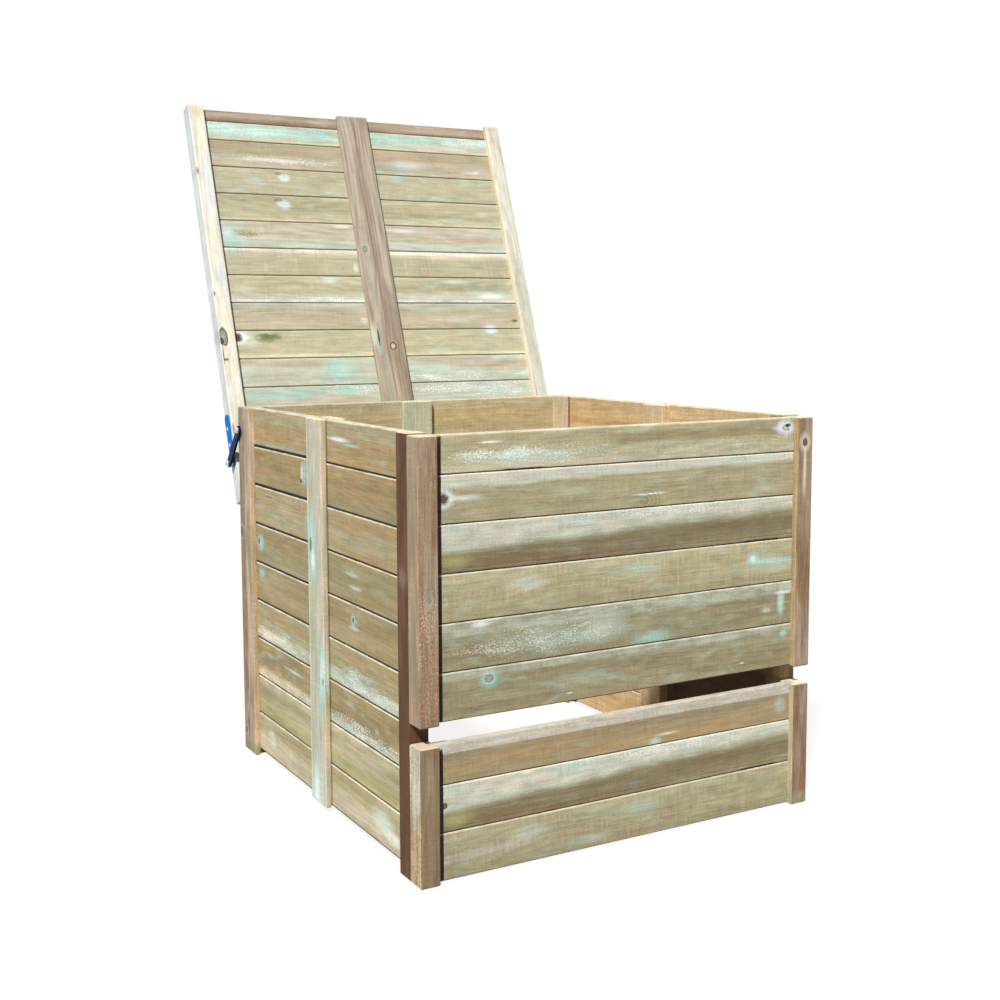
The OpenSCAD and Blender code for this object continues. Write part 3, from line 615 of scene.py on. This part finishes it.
# Lid: u from the left end of a board, v up the open lid from its lower joint.
lidBuild = {
    "boardHeight": 72, "firstJoint": 62, "end": 28.5, "face": 13, "seed": 80,
    "left": 6, "foot": (930.5, 586.0),   # where the lid stands in the box's axes
    "look": dict(warm="rose", cool="dew", pale="chalk", dark="olive"),
    "detail": dict(fibreAmount=0.14, gritAmount=0.12, sawAmount=0.16, streakAmount=0.28, cloudAmount=0.7,
        driftAmount=0.26),
}
lidBoards = {
    14: wood("straw", "dew", pale="white", dark="straw", specks=0.4, topHeight=50,
      bands=[stripe(-3, 7, "cream", 0.6, wave=3), stripe(14, 50, "aqua", 0.45, wave=7, broken=0.7),
        stripe(-3, 24, "blush", 0.6, fromU=560)],
      patches=[flecks(70, 30, 100, 20, "aqua", 0.9), flecks(90, 32, 130, 17, "ice", 0.85),
        flecks(320, 34, 70, 18, "aqua", 0.9), flecks(520, 36, 110, 14, "aqua", 0.8),
        flecks(760, 38, 80, 12, "white", 0.8)]),
    13: wood("straw", "rose", light=0.84, pale="ivory", dark="camel",
      bands=[stripe(40, 80, "camel", 0.35, wave=8, broken=0.4), stripe(-4, 9, "cream", 0.35, wave=4)],
      patches=[flecks(310, 22, 90, 9, "ivory", 0.9), stain(165, 24, 95, 6, "ivory", 0.95, 1.3),
        flecks(165, 24, 110, 10, "white", 0.9), stain(560, 30, 60, 16, "white", 0.5),
        flecks(520, 14, 50, 10, "aqua", 0.6), flecks(768, 20, 40, 10, "white", 0.6)],
      knots=[knotAt(155, 56, 9, 4, core="camel", coreAmount=0.6)]),
    12: wood("straw", "hay",
      patches=[stain(200, 49, 17, 13, "ice", 0.9, 1.9), stain(206, 52, 8, 5, "aqua", 0.6),
        stain(520, 66, 30, 6, "aqua", 0.7), stain(300, 66, 60, 6, "rose", 0.5)],
      knots=[knotAt(188, 60, 11, 5, core="brown", coreAmount=0.6, ragged=2.0, ringAmount=0)]),
    11: wood("hay", "straw",
      bands=[stripe(-4, 6, "cream", 0.6, wave=2), stripe(30, 60, "olive", 0.3, wave=14)],
      patches=[stain(190, 47, 19, 14, "ice", 0.95, 1.9), stain(189, 48, 9, 7, "aqua", 0.6),
        stain(760, 40, 20, 9, "chalk", 0.7)],
      knots=[knotAt(178, 59, 12, 5, core="brown", coreAmount=0.6, ragged=2.0, ringAmount=0)]),
    10: wood("rose", "chalk", light=0.95, pale="dew", dark="drab", darkStreaks=0.2, specks=0.3,
      bands=[stripe(-4, 22, "dew", 0.75, broken=0.3),
        stripe(-4, 80, "aqua", 0.6, fromU=-40, toU=60, broken=0.6)],
      patches=[flecks(98, 36, 34, 8, "mossDark", 0.6), stain(30, 40, 22, 14, "ice", 0.9),
        stain(340, 64, 30, 5, "white", 0.8), stain(500, 58, 50, 6, "white", 0.7)]),
    9: wood("straw", "hay", pale="cream", cool="straw", detail=dict(sawAmount=0.3, driftAmount=0.4),
      bands=[stripe(52, 80, "blush", 0.7), stripe(62, 80, "ivory", 0.8, wave=3)],
      patches=[stain(40, 66, 24, 8, "aqua", 0.7), stain(360, 24, 8, 14, "ivory", 0.7),
        stain(200, 30, 4, 26, "chalk", 0.5, 0.6), stain(280, 30, 4, 26, "chalk", 0.5, 0.6)]),
    8: wood("hay", "straw", light=1.06, specks=0.3,
      bands=[stripe(-4, 24, "lavender", 0.7, broken=0.3), stripe(-4, 8, "white", 0.5, wave=3, broken=0.6)],
      patches=[stain(283, 60, 20, 9, "frost", 0.9), flecks(250, 12, 60, 9, "white", 0.8),
        stain(640, 60, 40, 7, "frost", 0.8), flecks(740, 22, 60, 14, "aqua", 0.9),
        stain(740, 20, 50, 12, "white", 0.6)]),
    7: wood("straw", "rose", light=0.93,
      bands=[stripe(56, 80, "dew", 0.5, broken=0.4)],
      patches=[stain(360, 26, 12, 10, "ivory", 0.7), stain(722, 3, 24, 9, "ice", 0.9, 1.0),
        stain(802, 22, 11, 5, "mossDark", 0.95, 1.2)]),
    6: wood("straw", "hay", light=1.08,
      bands=[stripe(-4, 11, "cream", 0.65, wave=4)],
      patches=[stain(98, 55, 30, 12, "moss", 0.95, 1.8), flecks(94, 55, 32, 13, "mossDark", 0.95),
        stain(724, 66, 22, 9, "ice", 0.95, 1.0), stain(50, 40, 26, 10, "dew", 0.8)],
      knots=[knotAt(20, 54, 12, 9, halo="ice", flare=1, flareLength=4, ragged=1.5, core="umber", ring="rust",
        ringAmount=0.8)]),
    5: wood("rose", "dew", pale="dew", dark="drab", darkStreaks=0.2, specks=0.2,
      bands=[stripe(-4, 30, "dew", 0.5, broken=0.5)],
      patches=[stain(270, 40, 50, 30, "aqua", 0.6), flecks(560, 14, 110, 14, "white", 0.9),
        stain(740, 34, 60, 14, "rose", 0.5)]),
    4: wood("dew", "rose", light=0.975, pale="white", dark="sage", specks=0.5,
      patches=[flecks(90, 54, 110, 16, "aqua", 0.9), flecks(300, 58, 80, 12, "white", 0.9),
        stain(300, 56, 50, 10, "aqua", 0.7), flecks(640, 50, 180, 22, "white", 0.9)]),
    3: wood("straw", "chalk", pale="dew"),
    2: wood("straw", "hay"),
    1: wood("rose", "straw", dark="brown"),
}


def lidPoint(x, y, z):   # from the lid's own axes, in millimetres, to the frame
    deep, high = lidBuild["foot"]
    return boxPoint(lidBuild["left"] + x, deep + y * math.cos(lidLean) + z * math.sin(lidLean),
                    high - y * math.sin(lidLean) + z * math.cos(lidLean))


lidUp = (0, math.sin(lidLean), math.cos(lidLean))
paintedLidShadows = [zone("u", 6, 14.5, "dirtAndShade", 0.8, soft=0.6),   # painted shadows beside the left and the middle batten
              zone("u", 452, 460, "dirtAndShade", 0.8, soft=0.6)]


def dressLid():
    for row, look in lidBoards.items():
        low = 0 if row == 1 else lidBuild["firstJoint"] + (row - 2) * lidBuild["boardHeight"]
        look = dict(lidBuild["look"], **look)
        look["detail"] = dict(lidBuild["detail"], **look.get("detail", {}))
        height = look.get("topHeight", lidBuild["boardHeight"])
        look["lines"] = paintedLidShadows + jointLines(height, 0.4, "joint", 1.6, 0.75)
        origin = lidPoint(lidBuild["end"], lidBuild["face"], low)
        dressBoard("lid_board_%d" % row, origin, (1, 0, 0), lidUp, lidBuild["seed"] + row, look)
    print("lid boards dressed")


firstSeeds = {"battens": 101, "lidBattens": 121, "lidStrip": 124}
# Posts and battens: u up from the foot, v across the face, towards the rear where "across" isn't given.
battenLooks = {
    "front_left_batten": wood("brown", "drab", at=(0, 0, 290), across=(1, 0, 0), light=1.18, pale="pink",
      dark="rust", warm="rust", cool="pink", paleStreaks=0.5, darkStreaks=0.6, specks=0.2,
      detail=fineGrain(0.09),
      faces=[sideFace("drab", 0.75)],
      ends=[sawnEnd(513, "cream", 20, 60)],
      patches=[flecks(100, 20, 120, 30, "sawnPink", 0.38), stain(70, 24, 90, 26, "rust", 0.4, 2.0),
        stain(226, 22, 14, 7, "sage", 0.7)],
      knots=[knotAt(228, 22, 8, 4, core="rust", coreAmount=0.5, ring="pink")]),
    "front_right_batten": wood("brown", "drab", at=(854, 0, 290), across=(1, 0, 0), light=1.08, pale="blush",
      dark="rust", warm="brown", cool="pink", paleStreaks=0.5, darkStreaks=0.4, detail=fineGrain(0.09),
      patches=[stain(420, 19, 60, 4, "blush", 0.8, 0.8)],
      faces=[sideFace("camel", 0.8, 0.8)],
      ends=[sawnEnd(513, "cream", 20, 60)],
      knots=[knotAt(462, 19, 9, 7, core="umber", halo="blush", flare=-1, flareLength=14)]),
    "hatch_left_batten": wood("brown", "khaki", at=(0, 0, 0), across=(1, 0, 0), pale="pink", dark="rust",
      warm="rust", cool="khaki", paleStreaks=0.4, darkStreaks=0.5, specks=0.1, detail=fineGrain(0.08),
      bands=[stripe(14, 28, "pink", 0.25)],
      faces=[sideFace("drab", 0.6), sideFace("sagePale", 0.6, fromU=130, toU=270, fade=60),
        sideFace("ivory", 0.55, specks=0.95), sideFace("ochre", 0.7, specks=0.85, fromU=-20, toU=110)],
      ends=[sawnEnd(254, "sawnPink", -20, 50)]),
    "hatch_right_batten": wood("brown", "drab", at=(854, 0, 0), across=(1, 0, 0), pale="blush", dark="rust",
      warm="brown", cool="pink", paleStreaks=0.3, darkStreaks=0.4, detail=fineGrain(0.07),
      patches=[stain(16, 24, 10, 7, "ochre", 0.8, 1.0), stain(14, 30, 5, 3, "umber", 0.8, 0.8)],
      faces=[sideFace("sand", 0.75, 0.8), zone("u", -2, 24, "olive", 0.6, soft=8)],
      ends=[sawnEnd(254, "cream", 60, 50)]),
    "left_front_post": wood("postDark", "rust", at=(0, 43, 0), light=0.72, pale="brown", dark="umber",
      warm="oliveDeep", cool="brown", paleStreaks=0.35, darkStreaks=0.6, specks=0.05, detail=fineGrain(0.08),
      patches=[stain(220, 22, 260, 40, "postDark", 0.6), stain(547, 20, 20, 20, "drab", 0.6)],
      ends=[sawnEnd(806, "cream", -30, 20)]),
    "right_front_post": wood("brown", "camel", at=(854, 43, 0), pale="drab", dark="rust", darkStreaks=0.4,
      ends=[sawnEnd(806, "cream", -30, 20)]),
    "left_rear_post": wood("drab", "pink", at=(0, 858, 0), light=1.12, pale="blush", dark="brown",
      darkStreaks=0.45, specks=0.2, detail=fineGrain(0.09),
      faces=[sideFace("ochre", 0.35, 0.8), zone("u", -2, 26, "moss", 0.55, soft=9)],
      ends=[sawnEnd(806, "sand", 60, 20)]),
    "right_rear_post": wood("blush", "innerTan", at=(854, 858, 0), light=0.97, pale="ivory", dark="camel",
      # painted shade: the post's front face is painted brown, darker as in shade
      faces=[sideFace("brown", 0.9, 0.8)],
      ends=[sawnEnd(806, "sand", 60, 20)]),
    "left_middle_batten": wood("sagePale", "blush", at=(0, 433, 10), pale="ivory", dark="drab", warm="blush",
      specks=0.25, detail=fineGrain(0.06),
      bands=[stripe(40, 90, "sage", 0.45, wave=8), stripe(70, 90, "ivory", 0.5, wave=2, soft=2)],
      faces=[sideFace("camel", 0.4)],
      ends=[sawnEnd(796, "cream", 39, -60)],
      patches=[stain(536, 54, 90, 22, "aqua", 0.85, 1.2), stain(545, 58, 50, 12, "aqua", 0.9, 1.0),
        stain(505, 50, 26, 11, "white", 0.9, 1.2), stain(600, 20, 60, 16, "blush", 0.6),
        stain(268, 12, 90, 19, "aqua", 0.85, 1.2), stain(275, 10, 44, 10, "ice", 0.9, 1.0),
        stain(180, 3, 70, 4, "lichen", 0.8), stain(30, 38, 80, 40, "frost", 0.9, 1.3),
        stain(20, 52, 60, 20, "white", 0.95), stain(44, 60, 40, 12, "aqua", 0.7)],
      knots=[knotAt(538, 60, 12, 5, core="drab", ring="brown", ringAmount=0.6),
        knotAt(262, 6, 7, 4, core="brown", coreAmount=0.7)]),
    "right_middle_batten": wood("sand", "pink", at=(881, 433, 10), pale="ivory", dark="drab", specks=0.2,
      ends=[sawnEnd(796, "cream", 39, -60)]),
    "rear_left_batten": wood("drab", "brown", at=(0, 894, 0), across=(1, 0, 0), pale="pink", dark="rust",
      darkStreaks=0.5,
      faces=[zone("u", -2, 22, "moss", 0.5, soft=9)],
      knots=[knotAt(517, 24, 16, 9, core="umber", coreAmount=0.7, side=True),
        knotAt(48, 20, 10, 9, core="umber", coreAmount=0.7, side=True)],
      ends=[sawnEnd(806, "sand", 30, -50)]),
    "rear_right_batten": wood("blush", "innerTan", at=(834, 894, 0), across=(1, 0, 0), light=1.04,
      pale="ivory", dark="pink",
      ends=[sawnEnd(806, "sand", 30, -50)]),
    "inner_middle_battens": wood("blush", "sand", at=(0, 433, 10), pale="ivory", dark="camel", specks=0.2,
      faces=[zone("v", 440, 480, "mintTan", 0.7, soft=2), zone("w", -870, -830, "innerPink", 0.8, soft=2)],
      ends=[sawnEnd(796, "cream", 39, -60)]),
}


def dressBattens():
    for seed, (name, look) in enumerate(battenLooks.items(), firstSeeds["battens"]):
        dressBoard(name, boxPoint(*look["at"]), (0, 0, 1), look.get("across", (0, 1, 0)), seed, look)
    print("posts and battens dressed")


planedGrain = dict(fibreAmount=0.12, gritAmount=0.12, sawAmount=0.1)
lidBattenLooks = {
    "lid_left_batten": wood("lidBatten", "ivory", at=(0, 0, 0), light=0.905, pale="white", dark="blush",
      warm="sawnPink", cool="white", darkStreaks=0.25, specks=0.1, detail=planedGrain,
      faces=[sideFace("ice", 0.8, 0.8)],
      patches=[stain(833, 2, 10, 4, "umber", 0.8), stain(513, 2, 9, 4, "umber", 0.8),
        stain(357, 4, 26, 1.6, "umber", 0.85, 0.5), stain(345, 9, 4, 8, "umber", 0.8, 0.6),
        stain(172, 3, 16, 3, "brown", 0.7), stain(1000, 20, 24, 40, "sawnPink", 0.7),
        stain(800, 26, 110, 22, "ice", 0.7), stain(560, 24, 60, 14, "ice", 0.6)],
      knots=[knotAt(402, 10, 17, 9, core="sage", ring="umber", ringAmount=0.9, ragged=1.6),
        knotAt(392, 5, 9, 5, core="umber", ragged=1.8)]),
    "lid_right_batten": wood("lidBatten", "chalk", at=(842, 0, 0), light=0.95, pale="white", dark="rose",
      cool="dew", darkStreaks=0.2, specks=0.1, detail=planedGrain,
      faces=[sideFace("cream", 0.8, 0.8)],
      patches=[stain(1008, 20, 12, 40, "ochre", 0.4)]),
    "lid_middle_batten": wood("pink", "blush", at=(398, 0, 0), light=0.76, pale="blush", dark="brown",
      cool="sage", paleStreaks=0.3, darkStreaks=0.6, specks=0.1,
      detail=dict(figureAmount=0.12, fibreAmount=0.16, gritAmount=0.14, sawAmount=0.1),
      bands=[stripe(-3, 4, "blush", 0.6, wave=1.5, soft=2), stripe(40, 43, "brown", 0.6, wave=14, soft=2),
        stripe(58, 60, "brown", 0.5, wave=12, soft=2)],
      patches=[stain(330, 20, 60, 12, "sage", 0.5), stain(640, 20, 20, 11, "frost", 0.8),
        stain(404, 8, 34, 12, "ivory", 0.95, 0.9), stain(374, 17, 24, 9, "frost", 0.85)],
      knots=[knotAt(636, 19, 7, 5, core="mint", ring="rust", ringAmount=0.8),
        knotAt(398, 17, 22, 3, core="umber", ragged=1.4, ringAmount=0.2),
        knotAt(373, 53, 8, 7, core="cream", ring="umber", ringAmount=0.95, coreAmount=0.95)]),
}
stripLook = wood("drab", "pink", at=(28.5, 13, 976), light=0.9, pale="blush", dark="rust",
    specks=0.1, bands=[stripe(-4, 5, "rust", 0.6, wave=2)])


def dressLidBattens():
    for seed, (name, look) in enumerate(lidBattenLooks.items(), firstSeeds["lidBattens"]):
        dressBoard(name, lidPoint(*look["at"]), lidUp, (1, 0, 0), seed, look)
    place, seed = lidPoint(*stripLook["at"]), firstSeeds["lidStrip"]
    dressBoard("lid_front_strip", place, (1, 0, 0), lidUp, seed, stripLook)
    print("lid battens and strip dressed")


# Metal: painted steel with fine orange peel and specks of worn paint, and zinc plate with fine scratches.
metalLooks = {
    "blue plate": dict(nodes=["lid_hinge_plates"], tone="blue", wear="steel", wearAmount=0.12, metallic=0.0,
        rough=0.5, peel=0.00018, gloss=0.08),
    "navy arm": dict(nodes=["link_arms"], tone="navy", wear="blue", wearAmount=0.2, metallic=0.0,
        rough=0.5, peel=0.00018, gloss=0.08),
    "zinc": dict(nodes=["hinge_plate_screws", "post_pivot_bolts", "lid_pivot_bolts", "hanger_screws",
        "panel_hanger_plates", "hatch_hanger_plates"],
        tone="steel", wear="drab", wearAmount=0.35, metallic=0.9, rough=0.36, peel=0.00009, gloss=0.5),
}
metalBuild = {
    "noises": ((60.0, 4.0), (1400.0, 2.0), (350.0, 5.0)),   # scale and octaves of cloud, fine and scratch
    "toneSwing": 0.35, "roughSwing": 0.2, "wear": (0.62, 0.70), "bump": 0.3,
}


def dressMetal():
    for name, look in metalLooks.items():
        material, shader, place = newMaterial(name + " finish")
        cloud, fine, scratch = (
            place.node("ShaderNodeTexNoise", {}, {"Vector": place, "Scale": scale, "Detail": octaves})
            for scale, octaves in metalBuild["noises"])
        base = place.node("ShaderNodeRGB", {}, {})
        base.socket.default_value = colour(look["tone"])
        base = base.shade(cloud.swing(metalBuild["toneSwing"]) + 1)
        base = base.paint(scratch.ease(*metalBuild["wear"]) * look["wearAmount"], look["wear"])
        connect(shader, "Base Color", base)
        connect(shader, "Roughness", cloud.swing(metalBuild["roughSwing"]) + look["rough"])
        peel = {"Strength": metalBuild["bump"], "Distance": look["peel"], "Height": fine}
        connect(shader, "Normal", fine.node("ShaderNodeBump", {}, peel))
        shader.inputs["Metallic"].default_value = look["metallic"]
        shader.inputs["Specular IOR Level"].default_value = look["gloss"]
        for nodeName in look["nodes"]:
            dress(nodeName, material)
    print("metal dressed")


# Camera, as fitted to the photograph.
cameraView = {
    "place": (-1.458917, -2.71048, 0.997914), "turn": 29.109, "down": 5.683, "roll": -0.248,
    "lens": 48.527, "sensor": 36.0, "shiftX": 0.015788, "shiftY": -0.044556, "farthest": 50,
}


def setCamera():
    place = Matrix.Translation(cameraView["place"])
    for axis, angle in ("Z", -cameraView["turn"]), ("X", 90 - cameraView["down"]), ("Z", cameraView["roll"]):
        place = place @ Matrix.Rotation(math.radians(angle), 4, axis)
    data = bpy.data.cameras.new("camera")
    data.sensor_width = cameraView["sensor"]
    data.lens = cameraView["lens"]
    data.shift_x, data.shift_y = cameraView["shiftX"], cameraView["shiftY"]
    data.clip_end = cameraView["farthest"]
    camera = bpy.data.objects.new("camera", data)
    bpy.context.scene.collection.objects.link(camera)
    camera.matrix_world = place
    bpy.context.scene.camera = camera


# Light: a soft sun from the front left, a weak wide fill from behind on the right, an even sky, a pale floor.
lightBuild = {
    "lamps": {
        "soft sun": dict(travel=(1.0, 1.0, -1.5), strength=4.35, angle=4, tint=(1.0, 0.98, 0.94)),
        "soft fill": dict(travel=(-1.0, -0.8, -0.5), strength=1.6, angle=40, tint=(0.97, 0.98, 1.0)),
    },
    "sky": 0.15, "skyColour": (0.97, 0.98, 1.0, 1.0),
    "floorSize": 60, "floorDrop": 0.0006, "floorColour": 0.42, "floorSeen": 0.86, "floorGlow": 0.86,
}
plainWhite = (1, 1, 1, 1)


# 1 for what the camera sees, also by reflection or through something, and 0 for the light on the object
def seenByCamera(tree):
    rays = tree.nodes.new("ShaderNodeLightPath").outputs
    seen = Wire(tree, rays["Is Camera Ray"])
    for kind in ("Glossy", "Transmission"):
        seen = seen.sums("MAXIMUM", seen, Wire(tree, rays["Is %s Ray" % kind]))
    return seen


def setLight():
    for name, build in lightBuild["lamps"].items():
        lamp = bpy.data.lights.new(name, "SUN")
        lamp.energy = build["strength"]
        lamp.angle = math.radians(build["angle"])
        lamp.color = build["tint"]
        holder = bpy.data.objects.new(name, lamp)
        holder.rotation_euler = Vector(build["travel"]).to_track_quat("-Z", "Y").to_euler()
        bpy.context.scene.collection.objects.link(holder)
    world = bpy.data.worlds.new("studio")
    bpy.context.scene.world = world
    tree, surface = freshTree(world, "ShaderNodeOutputWorld")
    seen = seenByCamera(tree)
    plain = seen.node("ShaderNodeBackground", {}, {"Color": plainWhite, "Strength": 1.0})
    sky = dict(Color=lightBuild["skyColour"], Strength=lightBuild["sky"])
    both = {0: seen, 1: seen.node("ShaderNodeBackground", {}, sky), 2: plain}
    tree.links.new(seen.node("ShaderNodeMixShader", {}, both).socket, surface)


def layFloor():
    half, low = lightBuild["floorSize"] / 2, -lightBuild["floorDrop"]
    mesh = bpy.data.meshes.new("floor")
    corners = (-half, -half, low), (half, -half, low), (half, half, low), (-half, half, low)
    mesh.from_pydata(corners, [], [(0, 1, 2, 3)])
    floor = bpy.data.objects.new("floor", mesh)
    bpy.context.scene.collection.objects.link(floor)
    material = bpy.data.materials.new("pale floor")
    tree, surface = freshTree(material, "ShaderNodeOutputMaterial")
    seen = seenByCamera(tree)
    pale = seen * (lightBuild["floorSeen"] - lightBuild["floorColour"]) + lightBuild["floorColour"]
    matt = seen.node("ShaderNodeBsdfDiffuse", {}, {"Color": pale.grey()})
    glow = seen.node("ShaderNodeEmission", {}, {"Color": plainWhite, "Strength": 1.0})
    both = {0: seen * lightBuild["floorGlow"], 1: matt, 2: glow}
    tree.links.new(seen.node("ShaderNodeMixShader", {}, both).socket, surface)
    mesh.materials.append(material)


setCamera()
setLight()
layFloor()
bpy.context.scene.view_settings.view_transform = "Standard"
print("camera, light and floor set")

dressFront()
dressSides()
dressGroups()
dressLid()
dressBattens()
dressLidBattens()
dressMetal()
